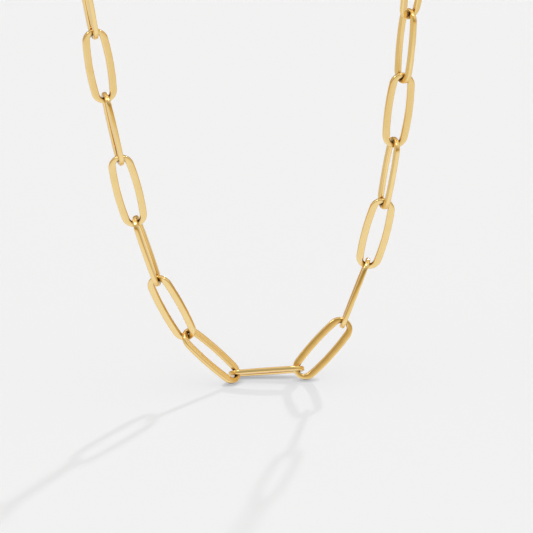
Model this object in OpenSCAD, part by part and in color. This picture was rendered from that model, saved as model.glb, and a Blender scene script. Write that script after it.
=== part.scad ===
// Paperclip chain necklace: long oval links of flattened gold wire, hooked one through the
// next in a closed loop, with a plain oval clasp and a jump ring at the nape.
// Millimetres, +Z up, the front of the necklace towards -Y, the nape at the origin.

/* [Link] */
// Length of a link over its two ends
link_l = 15.3; // [13:0.1:18]
// Width of a link at its middle, outside
link_w = 5.68; // [5.56:0.04:6.2]
// Width of a link's opening at its middle
open_w = 2.8; // [2.5:0.05:3.1]
// Outside radius of the round ends of a link
end_r = 2.58; // [2.4:0.02:2.68]
// Inside radius of the round ends of a link
end_in_r = 1.06; // [1.02:0.01:1.14]
// Width of the wire at the tips of a link, in the plane of the link
end_wire = 1.0; // [0.94:0.02:1.1]
// Thickness of the flattened wire
wire_t = 0.92; // [0.7:0.02:1.1]
// How much larger the round of the wire's sides is than half its thickness
side_soft = 0.04; // [0.03:0.01:0.2]
// Free play between two hooked links
joint_gap = 0.12; // [0.11:0.01:0.3]

/* [Clasp] */
// Wire diameter of the jump ring
ring_wire = 0.9; // [0.7:0.05:1.1]
// Inside diameter of the jump ring
ring_bore = 3.4; // [3.2:0.1:4.4]
// Rod diameter of the clasp's oval
clasp_wire = 1.3; // [1.0:0.05:1.5]
// Width of the clasp's oval, outside
clasp_w = 6.2; // [5.8:0.1:7]
// Wire diameter of the small eye on the clasp
eye_wire = 0.95; // [0.8:0.05:1.0]
// Inside diameter of the small eye on the clasp
eye_bore = 2.7; // [2.5:0.1:3.2]

/* [Hidden] */
$fn = 96;

// Link 17 lies at the bottom of the loop. Its neighbours are counted outwards from it.
bottom_no = 17;

// How each link in front stands, from the bottom up, in degrees:
// [heading to the right of straight up, lean to the back, roll about its own length].
// A roll of 0 shows the link's face to the front and 90 its edge.
bottom_stand = [86.3, 1.5, 116.5];
left_stand = [
    [-45.9, -5, -57],
    [-26.9, -3.5, 21.5],
    [-18.1, -1, -83],
    [-13.5, -2.5, -2],
    [-12.1, 1, 74.5],
    [-9, -1, -14.5],
    [-9.2, -6, 71.5],
];
right_stand = [
    [42.8, 9.5, 4],
    [21.2, 7.5, 93],
    [13.9, -3, -2],
    [9.3, -4, 70],
    [7.2, 3.5, -12],
    [5, 1, 57.5],
    [7.6, -6, -43],
];
front = [0, -1, 0];

// From there each side runs round to the nape. It climbs less and less, and turns from
// outwards through straight back to inwards.
round_n = 9;
climb_top = [77, 71];
climb_nape = 4;
climb_ease = 1.5;
turn_top = -66;
turn_nape = 84;
// The front hangs turned a little about the vertical, its right side further back, and the
// hidden stretch is turned with it.
turned = 6;
roll_top = [-45, 62];
roll_drift = [0, 9];
clasp_roll = 45;

// What follows from the sizes
side_r = wire_t / 2 + side_soft;
seam = 0.012;
// Margins of the shapes that cut a link out, which leave no trace on it
clear_t = 1;
over_turn = 0.6;
mid_clear = 0.3;
hook = 2 * end_in_r - joint_gap;
end_c = link_l / 2 - end_wire - end_in_r;
end_out_c = link_l / 2 - end_r;

// A link's two sides bow outwards between the planes y = side_end and y = -side_end, where its
// round ends begin. An arc that bows by b over a length of 2 * side_end has this radius.
end_lap = 0.1;
side_end = end_c - end_lap;
out_x = sqrt(end_r * end_r - pow(side_end - end_out_c, 2)) + seam;
in_x = sqrt(end_in_r * end_in_r - pow(side_end - end_c, 2)) - seam;
function bow(b) = (side_end * side_end + b * b) / (2 * b);
out_bow = bow(link_w / 2 - out_x);
in_bow = bow(open_w / 2 - in_x);

function unit(v) = v / norm(v);
function axes(u, f, roll) =
    let (g = unit(f - u * (f * u)), s = cross(u, g), x = s * cos(roll) + g * sin(roll))
    [x, u, cross(x, u)];
function side_no(side) = side < 0 ? 0 : 1;

// The way a link points when it stands as [heading, lean, roll] says
function stand_dir(s) = [
    sin(s[0]) * cos(s[1]),
    sin(s[1]),
    cos(s[0]) * cos(s[1])
];

// The way link i of the hidden stretch points, and which way is outwards there
function round_t(i) = (i - 0.5) / round_n;
function climb_at(side, i) =
    climb_nape + (climb_top[side_no(side)] - climb_nape) * pow(1 - round_t(i), climb_ease);
function turn_at(side, i) =
    turn_top + (turn_nape - turn_top) * round_t(i) + side * turned;
function round_dir(side, i) = [
    -side * sin(turn_at(side, i)) * cos(climb_at(side, i)),
    cos(turn_at(side, i)) * cos(climb_at(side, i)),
    sin(climb_at(side, i))
];
function round_out(side, i) = [side * cos(turn_at(side, i)), sin(turn_at(side, i)), 0];
function round_roll(side, i) =
    roll_top[side_no(side)] + roll_drift[side_no(side)] * (i - 1) + (i % 2 == 0 ? 90 : 0);

function seen(side) = side < 0 ? left_stand : right_stand;
seen_n = len(left_stand);

// Link k of a side, counted from the bottom: its axes, with Y along it and Z off its face
function link_axes(side, k) =
    k == 0 ? axes(side * stand_dir(bottom_stand), front, side * bottom_stand[2])
    : k <= seen_n ? axes(stand_dir(seen(side)[k - 1]), front, seen(side)[k - 1][2])
    : axes(round_dir(side, k - seen_n), round_out(side, k - seen_n), round_roll(side, k - seen_n));

// Two hooked pieces pull along the line in which their planes meet, the way that u goes
function pull(a, b, u) =
    let (d = unit(cross(a[2], b[2]))) d * u < 0 ? -d : d;

// Centre of link k of a side, when the centre of the bottom link is the zero point
function link_at(side, k) =
    k == 0
        ? [0, 0, 0]
        : let (a = link_axes(side, k - 1), b = link_axes(side, k))
            link_at(side, k - 1) + (a[1] + b[1]) * end_c + pull(a, b, a[1] + b[1]) * hook;

// The last links of both sides, and the centres of their outer ends
side_n = seen_n + round_n;
left_axes = link_axes(-1, side_n);
right_axes = link_axes(1, side_n);
left_end = link_at(-1, side_n) + left_axes[1] * end_c;
right_end = link_at(1, side_n) + right_axes[1] * end_c;
nape = (left_end + right_end) / 2;

// The clasp's eye hooks on the left end and the jump ring on the right one
rough_dir = unit(right_end - left_end);
rough_clasp = axes(rough_dir, -front, clasp_roll);
rough_ring = axes(rough_dir, -front, clasp_roll - 90);
eye_at = left_end
    + pull(left_axes, rough_clasp, rough_dir) * (end_in_r + eye_bore / 2 - joint_gap);
ring_at = right_end
    + pull(right_axes, rough_ring, -rough_dir) * (end_in_r + ring_bore / 2 - joint_gap);
clasp_axes = axes(unit(ring_at - eye_at), -front, clasp_roll);
ring_axes = axes(unit(ring_at - eye_at), -front, clasp_roll - 90);

// Along the clasp from the centre of its eye: the centres of its oval's round ends
clasp_end_r = (clasp_w - clasp_wire) / 2;
oval_y0 = eye_bore / 2 + eye_wire * 0.6 + clasp_w / 2;
oval_y1 = norm(ring_at - eye_at) - ring_bore / 2 - (clasp_w / 2 - clasp_wire) + joint_gap;

// Stands children at p with their own axes turned to the axes a
module stand(p, a) {
    multmatrix([
        [a[0][0], a[1][0], a[2][0], p[0] - nape[0]],
        [a[0][1], a[1][1], a[2][1], p[1] - nape[1]],
        [a[0][2], a[1][2], a[2][2], p[2] - nape[2]],
    ]) children();
}

// Section of a flat rim from r0 out to r1, h thick, with a rounded outer side
module rim_section(r0, r1, h) {
    intersection() {
        translate([r0, -h / 2]) square([r1 - r0, h]);
        union() {
            translate([r0, -h]) square([r1 - side_r - r0, h * 2]);
            translate([r1 - side_r, 0]) circle(side_r, $fn = 32);
        }
    }
}

// Section of the space from r0 out to r1, with the wire's rounded inner side left out of it
module opening_section(r0, r1) {
    difference() {
        translate([r0, -wire_t / 2 - clear_t])
            square([r1 + side_r - r0, wire_t + 2 * clear_t]);
        translate([r1 + side_r, 0]) circle(side_r, $fn = 32);
    }
}

// Turns a section through a shallow arc of radius r that crosses the X axis at x = w
module bow_sweep(w, r) {
    a = asin(side_end / r) + over_turn;
    translate([w - r, 0, 0])
        rotate([0, 0, -a])
        rotate_extrude(angle = 2 * a, $fn = 480)
        children();
}

// One bowed side of a link, widest at its middle inside and outside
module link_side() {
    difference() {
        bow_sweep(link_w / 2, out_bow)
            rim_section(out_bow - link_w / 2 + mid_clear, out_bow, wire_t);
        bow_sweep(open_w / 2, in_bow)
            opening_section(in_bow - open_w / 2 - clear_t, in_bow);
        for (half = [-1, 1])
            translate([0, half * (side_end + link_w), 0])
            cube([4 * link_w, 2 * link_w, 3 * wire_t], center = true);
    }
}

// One round end of a link, a hair slimmer all round than the sides that it is joined to
module link_end() {
    difference() {
        translate([0, end_out_c, 0])
            rotate_extrude()
            rim_section(0, end_r - seam, wire_t - 2 * seam);
        translate([0, end_c, 0])
            rotate_extrude()
            opening_section(0, end_in_r);
        translate([0, side_end - 2 * link_w, 0])
            cube([4 * link_w, 4 * link_w, 3 * wire_t], center = true);
    }
}

module plain_link() {
    for (half = [0, 180]) rotate([0, 0, half]) {
        link_side();
        link_end();
    }
}

// Link number n where it hangs in the loop
module link(n) {
    side = n < bottom_no ? -1 : 1;
    k = abs(n - bottom_no);
    color([0.90, 0.77, 0.52]) stand(link_at(side, k), link_axes(side, k)) plain_link();
}

// A ring of round wire in the XY plane, round the Z axis
module wire_ring(bore, wire) {
    rotate_extrude() translate([(bore + wire) / 2, 0]) circle(d = wire);
}

// Half of the clasp's oval rod, on the side of +Y
module clasp_bend() {
    rotate_extrude(angle = 180) translate([clasp_end_r, 0]) circle(d = clasp_wire);
}

// The clasp: a closed oval of round rod with a small eye for the last link
module clasp() {
    color([0.88, 0.75, 0.50]) stand(eye_at, clasp_axes) {
        wire_ring(eye_bore, eye_wire);
        translate([0, oval_y1, 0]) clasp_bend();
        translate([0, oval_y0, 0]) rotate([0, 0, 180]) clasp_bend();
        for (s = [-1, 1])
            translate([s * clasp_end_r, oval_y0, 0])
            rotate([-90, 0, 0])
            cylinder(d = clasp_wire, h = oval_y1 - oval_y0);
    }
}

// The jump ring between the clasp's oval and the other end of the chain
module jump_ring() {
    color([0.88, 0.75, 0.50]) stand(ring_at, ring_axes) wire_ring(ring_bore, ring_wire);
}

module link_01() link(1);
module link_02() link(2);
module link_03() link(3);
module link_04() link(4);
module link_05() link(5);
module link_06() link(6);
module link_07() link(7);
module link_08() link(8);
module link_09() link(9);
module link_10() link(10);
module link_11() link(11);
module link_12() link(12);
module link_13() link(13);
module link_14() link(14);
module link_15() link(15);
module link_16() link(16);
module link_17() link(17);
module link_18() link(18);
module link_19() link(19);
module link_20() link(20);
module link_21() link(21);
module link_22() link(22);
module link_23() link(23);
module link_24() link(24);
module link_25() link(25);
module link_26() link(26);
module link_27() link(27);
module link_28() link(28);
module link_29() link(29);
module link_30() link(30);
module link_31() link(31);
module link_32() link(32);
module link_33() link(33);

link_01();
link_02();
link_03();
link_04();
link_05();
link_06();
link_07();
link_08();
link_09();
link_10();
link_11();
link_12();
link_13();
link_14();
link_15();
link_16();
link_17();
link_18();
link_19();
link_20();
link_21();
link_22();
link_23();
link_24();
link_25();
link_26();
link_27();
link_28();
link_29();
link_30();
link_31();
link_32();
link_33();
clasp();
jump_ring();
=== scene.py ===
import math
import bmesh
import bpy
import numpy as np
from mathutils import Matrix, Vector


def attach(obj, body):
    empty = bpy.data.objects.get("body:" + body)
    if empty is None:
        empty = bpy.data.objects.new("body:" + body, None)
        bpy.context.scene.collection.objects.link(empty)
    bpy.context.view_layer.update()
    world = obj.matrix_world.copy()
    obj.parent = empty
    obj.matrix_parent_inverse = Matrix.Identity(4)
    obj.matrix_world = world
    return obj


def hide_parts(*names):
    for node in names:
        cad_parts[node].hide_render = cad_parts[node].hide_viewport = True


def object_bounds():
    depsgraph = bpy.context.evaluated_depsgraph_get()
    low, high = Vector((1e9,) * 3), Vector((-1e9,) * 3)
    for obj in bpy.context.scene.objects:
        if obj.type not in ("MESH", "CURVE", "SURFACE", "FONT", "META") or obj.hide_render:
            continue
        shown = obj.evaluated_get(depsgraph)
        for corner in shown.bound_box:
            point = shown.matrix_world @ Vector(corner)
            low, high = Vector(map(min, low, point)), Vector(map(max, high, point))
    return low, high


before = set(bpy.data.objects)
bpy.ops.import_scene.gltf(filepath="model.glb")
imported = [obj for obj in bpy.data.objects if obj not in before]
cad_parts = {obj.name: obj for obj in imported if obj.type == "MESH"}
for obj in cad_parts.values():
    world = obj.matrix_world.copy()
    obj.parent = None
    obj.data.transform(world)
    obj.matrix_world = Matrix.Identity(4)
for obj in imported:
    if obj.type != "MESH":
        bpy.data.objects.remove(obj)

mm = 0.001
mergeMm = 0.0005         # points nearer than this are made one
scene = bpy.context.scene
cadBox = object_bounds()
linkNames = sorted(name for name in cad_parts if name.startswith("link_"))
print("frame loaded,", len(linkNames), "links")


def srgb(code):  # a hex colour as linear red, green, blue and alpha
    parts = [int(code[i:i + 2], 16) / 255 for i in (1, 3, 5)]
    return [c / 12.92 if c <= 0.04045 else ((c + 0.055) / 1.055) ** 2.4 for c in parts] + [1]


# A setting is an input, by its name or number, or else one of the node's own properties
def addNode(tree, kind, settings=None, links=None):
    node = tree.nodes.new(kind)
    for key, value in (settings or {}).items():
        if isinstance(key, int) or key in node.inputs:
            node.inputs[key].default_value = value
        else:
            setattr(node, key, value)
    for key, source in (links or {}).items():
        tree.links.new(source, node.inputs[key])
    return node


def newMaterial(name):
    material = bpy.data.materials.new(name)
    material.use_nodes = True
    material.node_tree.nodes.clear()
    return material, material.node_tree


# Where a CAD solid lies: x across it, y along it, z off its face, and its three lengths
def restingFrame(name):
    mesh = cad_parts[name].data
    mesh.calc_loop_triangles()
    points = np.array([v.co for v in mesh.vertices])
    corners = points[np.array([t.vertices for t in mesh.loop_triangles])]
    area = np.linalg.norm(
        np.cross(corners[:, 1] - corners[:, 0], corners[:, 2] - corners[:, 0]), axis=1)
    middles = (corners + np.roll(corners, 1, axis=1)) / 2      # middles of each triangle's edges
    weights = np.repeat(area, 3)
    middles = middles.reshape(-1, 3)
    centre = (middles * weights[:, None]).sum(0) / weights.sum()
    offset = middles - centre
    spread = (offset * weights[:, None]).T @ offset
    ways = np.linalg.eigh(spread)[1]                           # thinnest way first
    z, y = ways[:, 0], ways[:, 2]
    x = np.cross(y, z)
    axes = np.array([x, y, z])
    along = points @ axes.T
    low, high = along.min(0), along.max(0)
    middle = axes.T @ ((low + high) / 2)
    matrix = Matrix([[x[i], y[i], z[i], middle[i]] for i in range(3)] + [[0, 0, 0, 1]])
    return matrix, (high - low) / mm


# A mesh drawn in millimetres about its own middle becomes a finished piece in its place
def finishPiece(bm, name, matrix, materials, replaced):
    bmesh.ops.remove_doubles(bm, verts=bm.verts, dist=mergeMm)
    bmesh.ops.recalc_face_normals(bm, faces=bm.faces)
    bmesh.ops.transform(bm, matrix=matrix @ Matrix.Scale(mm, 4), verts=bm.verts)
    mesh = bpy.data.meshes.new(name)
    bm.to_mesh(mesh)
    bm.free()
    for face in mesh.polygons:
        face.use_smooth = True
    for material in materials:
        mesh.materials.append(material)
    piece = bpy.data.objects.new(name, mesh)
    scene.collection.objects.link(piece)
    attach(piece, "root")
    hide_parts(replaced)
    return piece


# Gold-plated brass. The flat faces are satined with fine grit, so they look calm and even. The
# sides and bends are tumbled and burnished bright, so they throw sparks and thin dark lines.
satinFace = {
    "colour": "#f9d997",
    "deepColour": "#f4d28b",     # where the plating lies thicker
    "roughness": (0.15, 0.21),
    "nookShadeColour": "#5c360c",     # painted shade, darker where two links meet and crowd each other
    "nookMm": 0.9,
    "nookRange": (0.35, 0.8),    # how open a spot is where it is wholly dark, and wholly clear
    "nookSamples": 8,
    "waveMm": 2.2,               # length and height of the shallow waves that buffing leaves
    "waveHeightMm": 0.5,
    "waveDepth": 0.05,
    "hairMm": 0.16,              # real hairlines are finer, drawn as coarse as shows
    "hairHeightMm": 0.1,
    "hairDepth": 0.02,
    "hairRange": (0.3, 0.7),     # the noise's usual span, over which the roughness goes
}
brightEdge = dict(satinFace, roughness=(0.04, 0.08), hairDepth=0.006)


def buffedGold(name, look):
    material, tree = newMaterial(name)
    where = addNode(tree, "ShaderNodeTexCoord")
    waves = addNode(tree, "ShaderNodeTexNoise",
                    {"Scale": 1 / (look["waveMm"] * mm), "Detail": 1.0, "Roughness": 0.4},
                    {"Vector": where.outputs["Object"]})
    hairs = addNode(tree, "ShaderNodeTexNoise",
                    {"Scale": 1 / (look["hairMm"] * mm), "Detail": 2.0, "Roughness": 0.6},
                    {"Vector": where.outputs["Object"]})
    colour = addNode(tree, "ShaderNodeMix",
                     {"data_type": "RGBA", 6: srgb(look["colour"]), 7: srgb(look["deepColour"])},
                     {"Factor": waves.outputs["Fac"]})
    # Painted shade: an occlusion test darkens the colour towards the nook shade colour in the
    # tight spots between links
    nook = addNode(tree, "ShaderNodeAmbientOcclusion",
                   {"samples": look["nookSamples"], "Distance": look["nookMm"] * mm})
    clear = addNode(tree, "ShaderNodeMapRange",
                    {"From Min": look["nookRange"][0], "From Max": look["nookRange"][1]},
                    {"Value": nook.outputs["AO"]})
    nookShaded = addNode(tree, "ShaderNodeMix", {"data_type": "RGBA", 6: srgb(look["nookShadeColour"])},
                   {"Factor": clear.outputs["Result"], 7: colour.outputs[2]})
    gloss = addNode(tree, "ShaderNodeMapRange",
                    {"From Min": look["hairRange"][0], "From Max": look["hairRange"][1],
                     "To Min": look["roughness"][0], "To Max": look["roughness"][1]},
                    {"Value": hairs.outputs["Fac"]})
    waveBump = addNode(tree, "ShaderNodeBump",
                       {"Strength": look["waveDepth"], "Distance": look["waveHeightMm"] * mm},
                       {"Height": waves.outputs["Fac"]})
    bump = addNode(tree, "ShaderNodeBump",
                   {"Strength": look["hairDepth"], "Distance": look["hairHeightMm"] * mm},
                   {"Height": hairs.outputs["Fac"], "Normal": waveBump.outputs["Normal"]})
    shader = addNode(tree, "ShaderNodeBsdfPrincipled", {"Metallic": 1.0},
                     {"Base Color": nookShaded.outputs[2], "Roughness": gloss.outputs["Result"],
                      "Normal": bump.outputs["Normal"]})
    addNode(tree, "ShaderNodeOutputMaterial", {}, {"Surface": shader.outputs["BSDF"]})
    return material


faceGold = buffedGold("satinGoldPlate", satinFace)
edgeGold = buffedGold("burnishedGoldPlate", brightEdge)
print("gold made")


# Plain link of flattened wire, bowed along its sides and round at both ends
linkShape = {          # millimetres
    "length": 15.3,
    "width": 5.68,
    "openWidth": 2.8,
    "endRadius": 2.58,
    "innerEndRadius": 1.06,
    "endWire": 1.0,
    "thickness": 0.92,
    "softEdge": 0.28,  # how far the rounding reaches in from each edge of the wire
    "sideSteps": 12,   # steps along a quarter's side, round its end, and across an edge's rounding
    "endSteps": 16,
    "edgeSteps": 5,
    "rimDegrees": 69,  # an edge that turns more than this is a rim, and is rounded
    "flatness": 0.99,  # a face whose normal has more z than this is satined, the rest burnished
}


# A quarter of an outline of the link, from the middle of its side round to the tip of its end:
# a long shallow arc that runs smoothly into the arc of the end
def quarterOutline(bm, half, endRadius, tip, shape):
    endCentre = tip - endRadius
    bow = (half ** 2 + endCentre ** 2 - endRadius ** 2) / (2 * half - 2 * endRadius)
    turn = math.atan2(endCentre, bow - half)
    start = bm.verts.new((half, 0, 0))
    side = bmesh.ops.spin(bm, geom=[start], cent=(half - bow, 0, 0), axis=(0, 0, 1),
                          angle=turn, steps=shape["sideSteps"])
    last = [g for g in side["geom_last"] if isinstance(g, bmesh.types.BMVert)]
    bmesh.ops.spin(bm, geom=last, cent=(0, endCentre, 0), axis=(0, 0, 1),
                   angle=math.pi / 2 - turn, steps=shape["endSteps"])


def linkMesh(shape):
    bm = bmesh.new()
    tip = shape["length"] / 2
    quarterOutline(bm, shape["width"] / 2, shape["endRadius"], tip, shape)
    quarterOutline(bm, shape["openWidth"] / 2, shape["innerEndRadius"],
                   tip - shape["endWire"], shape)
    bmesh.ops.bridge_loops(bm, edges=bm.edges)
    for axis in ("X", "Y"):
        bmesh.ops.mirror(bm, geom=bm.verts[:] + bm.edges[:] + bm.faces[:], axis=axis,
                         matrix=Matrix.Identity(4), merge_dist=mergeMm)
    flat = bmesh.ops.extrude_face_region(bm, geom=bm.faces[:])
    top = [g for g in flat["geom"] if isinstance(g, bmesh.types.BMVert)]
    bmesh.ops.translate(bm, verts=top, vec=(0, 0, shape["thickness"]))
    bmesh.ops.translate(bm, verts=bm.verts, vec=(0, 0, -shape["thickness"] / 2))
    bmesh.ops.recalc_face_normals(bm, faces=bm.faces)
    rims = [e for e in bm.edges if e.calc_face_angle(0) > math.radians(shape["rimDegrees"])]
    bmesh.ops.bevel(bm, geom=rims, offset=shape["softEdge"], offset_type="OFFSET", affect="EDGES",
                    segments=shape["edgeSteps"], profile=0.5, material=-1, clamp_overlap=False)
    for face in bm.faces:
        face.material_index = 0 if abs(face.normal.z) > shape["flatness"] else 1
    return bm


for name in linkNames:
    matrix, lengths = restingFrame(name)
    piece = finishPiece(linkMesh(linkShape), "chain_" + name, matrix, [faceGold, edgeGold], name)
    weighted = piece.modifiers.new("flatFaces", "WEIGHTED_NORMAL")
    weighted.weight = 100        # the large flat faces decide, so they look flat
print("links made, each", len(piece.data.polygons), "faces, lengths",
      [round(x, 2) for x in lengths])


# The hidden closure: an oval of plain rod with a small eye, and a ring of round wire
claspShape = {         # millimetres
    "width": 6.2,
    "rod": 1.3,
    "eyeBore": 2.7,
    "eyeWire": 0.95,
    "weld": 0.38,      # how deep the eye is let into the oval
    "rodSides": 24,
    "straightSteps": 4,
    "bendSteps": 32,
}
ringShape = {          # millimetres
    "bore": 3.4,
    "wire": 0.9,
    "wireSides": 20,   # the clasp's eye has the same steps
    "ringSteps": 56,
}


def wireCircle(bm, x, y, radius, sides):  # a section of round wire that faces along y
    made = bmesh.ops.create_circle(
        bm, segments=sides, radius=radius, cap_ends=False,
        matrix=Matrix.Translation((x, y, 0)) @ Matrix.Rotation(math.pi / 2, 4, "X"))
    edges = {e for v in made["verts"] for e in v.link_edges}
    return made["verts"] + list(edges)


def wireRing(bm, bore, wire, y=0.0):
    section = wireCircle(bm, (bore + wire) / 2, y, wire / 2, ringShape["wireSides"])
    bmesh.ops.spin(bm, geom=section, cent=(0, y, 0), axis=(0, 0, 1), angle=2 * math.pi,
                   steps=ringShape["ringSteps"], use_merge=True)


# Up one straight and round a bend, then the same way back, so that the end meets the start
def ovalRod(bm, shape, y0, y1):
    section = wireCircle(bm, (shape["width"] - shape["rod"]) / 2, y0, shape["rod"] / 2,
                         shape["rodSides"])
    for end, way in ((y1, 1), (y0, -1)):
        step = way * (y1 - y0) / shape["straightSteps"]
        straight = bmesh.ops.spin(bm, geom=section, cent=(0, 0, 0), axis=(0, 0, 1), angle=0,
                                  dvec=(0, step, 0), steps=shape["straightSteps"])
        bend = bmesh.ops.spin(bm, geom=straight["geom_last"], cent=(0, end, 0), axis=(0, 0, 1),
                              angle=math.pi, steps=shape["bendSteps"])
        section = bend["geom_last"]


matrix, lengths = restingFrame("clasp")
firstLink = restingFrame("link_01")[0].translation
if (matrix.inverted() @ firstLink).y > 0:      # the eye points to the first link
    matrix = matrix @ Matrix.Rotation(math.pi, 4, "Z")
eyeReach = claspShape["eyeBore"] / 2 + claspShape["eyeWire"]
eyeAt = -lengths[1] / 2 + eyeReach
ovalStart = eyeAt + eyeReach - claspShape["weld"]
bm = bmesh.new()
wireRing(bm, claspShape["eyeBore"], claspShape["eyeWire"], eyeAt)
ovalRod(bm, claspShape, ovalStart + claspShape["width"] / 2,
        lengths[1] / 2 - claspShape["width"] / 2)
finishPiece(bm, "plain_clasp", matrix, [edgeGold], "clasp")

bm = bmesh.new()
wireRing(bm, ringShape["bore"], ringShape["wire"])
finishPiece(bm, "clasp_ring", restingFrame("jump_ring")[0], [edgeGold], "jump_ring")
print("clasp and ring made")


# Matt painted sweep under the necklace: flat and pale, with no shine, and with painted shade close
# under the necklace
sweep = {
    "colour": "#edeef1",
    "reach": 12.0,               # metres
    "gap": 0.1 * mm,             # the lowest link hangs just clear of the floor
    "grainMm": 1.1111,           # the roller's stipple
    "grainHeightMm": 0.1,
    "grainDepth": 0.02,
    "contactShadeColour": "#cacacc",  # painted shade close under the necklace
    "contactMm": 1.4,            # how far from the necklace the floor darkens
    "contactRange": (0.5, 1.0),  # how open a spot is where it is darkest, and clear
    "contactSamples": 16,
}

floorPaint, tree = newMaterial("mattWhiteSweep")
where = addNode(tree, "ShaderNodeTexCoord")
grain = addNode(tree, "ShaderNodeTexNoise",
                {"Scale": 1 / (sweep["grainMm"] * mm), "Detail": 2.0},
                {"Vector": where.outputs["Object"]})
bump = addNode(tree, "ShaderNodeBump",
               {"Strength": sweep["grainDepth"], "Distance": sweep["grainHeightMm"] * mm},
               {"Height": grain.outputs["Fac"]})
# Painted shade: an occlusion test darkens the paint towards the contact shade colour where the
# necklace is near
contact = addNode(tree, "ShaderNodeAmbientOcclusion",
                  {"samples": sweep["contactSamples"], "Distance": sweep["contactMm"] * mm})
clear = addNode(tree, "ShaderNodeMapRange",
                {"From Min": sweep["contactRange"][0], "From Max": sweep["contactRange"][1]},
                {"Value": contact.outputs["AO"]})
paintAndShade = addNode(tree, "ShaderNodeMix",
                {"data_type": "RGBA", 6: srgb(sweep["contactShadeColour"]), 7: srgb(sweep["colour"])},
                {"Factor": clear.outputs["Result"]})
shader = addNode(tree, "ShaderNodeBsdfPrincipled", {"Roughness": 0.95, "Specular IOR Level": 0.1},
                 {"Base Color": paintAndShade.outputs[2], "Normal": bump.outputs["Normal"]})
addNode(tree, "ShaderNodeOutputMaterial", {}, {"Surface": shader.outputs["BSDF"]})

bm = bmesh.new()
bmesh.ops.create_grid(bm, x_segments=1, y_segments=1, size=sweep["reach"],
                      matrix=Matrix.Translation((0, 0, cadBox[0].z - sweep["gap"])))
floorMesh = bpy.data.meshes.new("floor")
bm.to_mesh(floorMesh)
bm.free()
floorMesh.materials.append(floorPaint)
floor = bpy.data.objects.new("floor", floorMesh)
scene.collection.objects.link(floor)
floor.visible_glossy = False      # the metal sees the world below the skyline in its place


studio = {
    # colour of what the metal sees by height, from -1 straight down over 0 at the skyline to 1
    # straight up: the pale sweep, a dark warm band above it and a soft ceiling
    "room": ((-1, "#c2c5d0"), (-0.67, "#c1c5d0"), (-0.37, "#bec2cb"), (-0.21, "#b9babd"),
             (-0.1, "#b3afa3"), (0, "#aa9a7a"), (0.08, "#a3916a"), (0.2, "#a59570"),
             (0.36, "#b1a995"), (0.5, "#bab8b5"), (0.8, "#c5c3c0")),
    # share of that light above the skyline, from -1 on the camera's side to 1 behind the
    # necklace, and the same below the skyline
    "depthAbove": ((-1, "#bebebe"), (-0.8, "#c8c8c8"), (-0.6, "#e2e2e2"), (-0.2, "#fafafa"),
                   (0.1, "#ffffff"), (0.5, "#e6e0d4"), (1, "#bda878")),
    "depthBelow": ((-1, "#ffffff"), (-0.5, "#ffffff"), (-0.15, "#f0eadd"), (0.3, "#f0eadd"),
                   (0.75, "#ece6d8"), (1, "#f2ede2")),
    "skyline": 0.15,             # height over which the one share fades into the other
    "roomLight": 1.8,
    "roomOnFloor": 0.35,         # share of the room's light that the matt floor takes
    "background": "#f2f2f2",     # what the camera sees past the floor
    "sunStrength": 0.7,          # low light from behind, which throws the shadows
    "sunSoftDegrees": 2.0,
    "sunHeading": 18.5,          # degrees to the right of straight behind the necklace
    "sunElevation": 25.4,
    # small lamps for the sparks on the bends: degrees to the right of the camera, and up
    "sparkLamps": ((-50, 50), (35, 64)),
    "sparkStrength": 0.3,
    "sparkDegrees": 14,
    "fillStrength": 2.14,        # lights the floor alone, from straight above
    "fillSoftDegrees": 0.526,
}

# The room as the metal sees it. The matt floor takes a share of its light, and the camera sees a
# plain background in its place.
world = bpy.data.worlds.new("studio")
scene.world = world
world.use_nodes = True
tree = world.node_tree
tree.nodes.clear()
where = addNode(tree, "ShaderNodeTexCoord")
parts = addNode(tree, "ShaderNodeSeparateXYZ", {}, {"Vector": where.outputs["Generated"]})
ramps = {}
for name, axis in (("room", "Z"), ("depthAbove", "Y"), ("depthBelow", "Y")):
    share = addNode(tree, "ShaderNodeMapRange", {"From Min": -1.0}, {"Value": parts.outputs[axis]})
    ramp = addNode(tree, "ShaderNodeValToRGB", {}, {"Fac": share.outputs["Result"]})
    elements = ramp.color_ramp.elements
    for number, (place, code) in enumerate(studio[name]):
        position = (place + 1) / 2
        stop = elements[number] if number < 2 else elements.new(position)
        stop.position = position
        stop.color = srgb(code)
    ramps[name] = ramp.outputs["Color"]
skyline = addNode(tree, "ShaderNodeMapRange", {"From Max": studio["skyline"]},
                  {"Value": parts.outputs["Z"]})
depth = addNode(tree, "ShaderNodeMix", {"data_type": "RGBA"},
                {0: skyline.outputs["Result"], 6: ramps["depthBelow"], 7: ramps["depthAbove"]})
room = addNode(tree, "ShaderNodeMix", {"data_type": "RGBA", "blend_type": "MULTIPLY", 0: 1.0},
               {6: ramps["room"], 7: depth.outputs[2]})
path = addNode(tree, "ShaderNodeLightPath")
strength = addNode(tree, "ShaderNodeMapRange",
                   {"To Min": studio["roomLight"],
                    "To Max": studio["roomLight"] * studio["roomOnFloor"]},
                   {"Value": path.outputs["Is Diffuse Ray"]})
lit = addNode(tree, "ShaderNodeBackground", {},
              {"Color": room.outputs[2], "Strength": strength.outputs["Result"]})
seen = addNode(tree, "ShaderNodeBackground",
               {"Color": srgb(studio["background"]), "Strength": 1.0})
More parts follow.
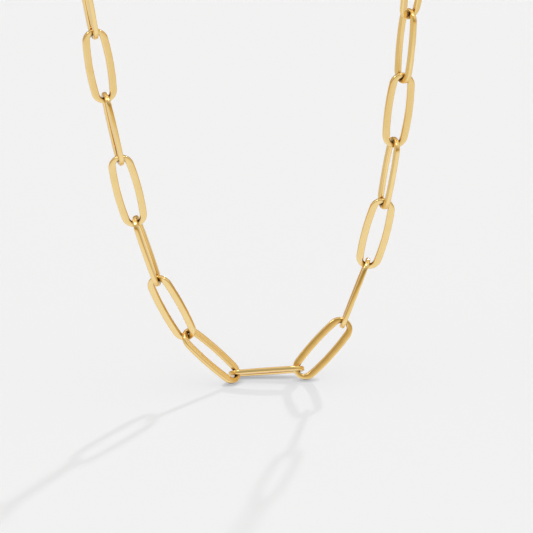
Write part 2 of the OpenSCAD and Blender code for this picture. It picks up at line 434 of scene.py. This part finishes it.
both = addNode(tree, "ShaderNodeMixShader", {},
               {0: path.outputs["Is Camera Ray"], 1: lit.outputs[0], 2: seen.outputs[0]})
addNode(tree, "ShaderNodeOutputWorld", {}, {"Surface": both.outputs[0]})


# A lamp so far off that its light has one direction: degrees to the right of the camera, and up
def farLamp(name, azimuth, elevation, strength, softDegrees):
    across, up = math.radians(azimuth), math.radians(elevation)
    toLamp = Vector((math.sin(across) * math.cos(up), -math.cos(across) * math.cos(up),
                     math.sin(up)))
    light = bpy.data.lights.new(name, "SUN")
    light.energy = strength
    light.angle = math.radians(softDegrees)
    lamp = bpy.data.objects.new(name, light)
    lamp.rotation_mode = "QUATERNION"
    lamp.rotation_quaternion = toLamp.to_track_quat("Z", "Y")
    scene.collection.objects.link(lamp)
    return lamp


farLamp("lowBackLight", 180 - studio["sunHeading"], studio["sunElevation"], studio["sunStrength"],
        studio["sunSoftDegrees"])
for number, (azimuth, elevation) in enumerate(studio["sparkLamps"]):
    spark = farLamp(f"sparkLamp{number}", azimuth, elevation, studio["sparkStrength"],
                    studio["sparkDegrees"])
    spark.visible_diffuse = False
fill = farLamp("floorFill", 0, 90, studio["fillStrength"], studio["fillSoftDegrees"])
fill.data.use_shadow = False      # so that the floor stays even
fill.visible_glossy = False

view = {
    "fromLowestLink": (0, 0, 22.2 * mm),
    "distance": 1.0,             # metres
    "elevation": 18,
    "lens": 337.7,               # millimetres, as the sensor
    "sensor": 36,
    "clip": (0.05, 60),          # metres
}
tilt = math.radians(view["elevation"])
back = Vector((0, -math.cos(tilt), math.sin(tilt)))
lens = bpy.data.cameras.new("camera")
lens.lens = view["lens"]
lens.sensor_width = view["sensor"]
lens.clip_start, lens.clip_end = view["clip"]
camera = bpy.data.objects.new("camera", lens)
target = restingFrame("link_17")[0].translation + Vector(view["fromLowestLink"])
camera.location = target + back * view["distance"]
camera.rotation_mode = "QUATERNION"
camera.rotation_quaternion = back.to_track_quat("Z", "Y")
scene.collection.objects.link(camera)
scene.camera = camera
scene.view_settings.view_transform = "Standard"
scene.view_settings.look = "None"
scene.cycles.caustics_reflective = False
print("studio made")
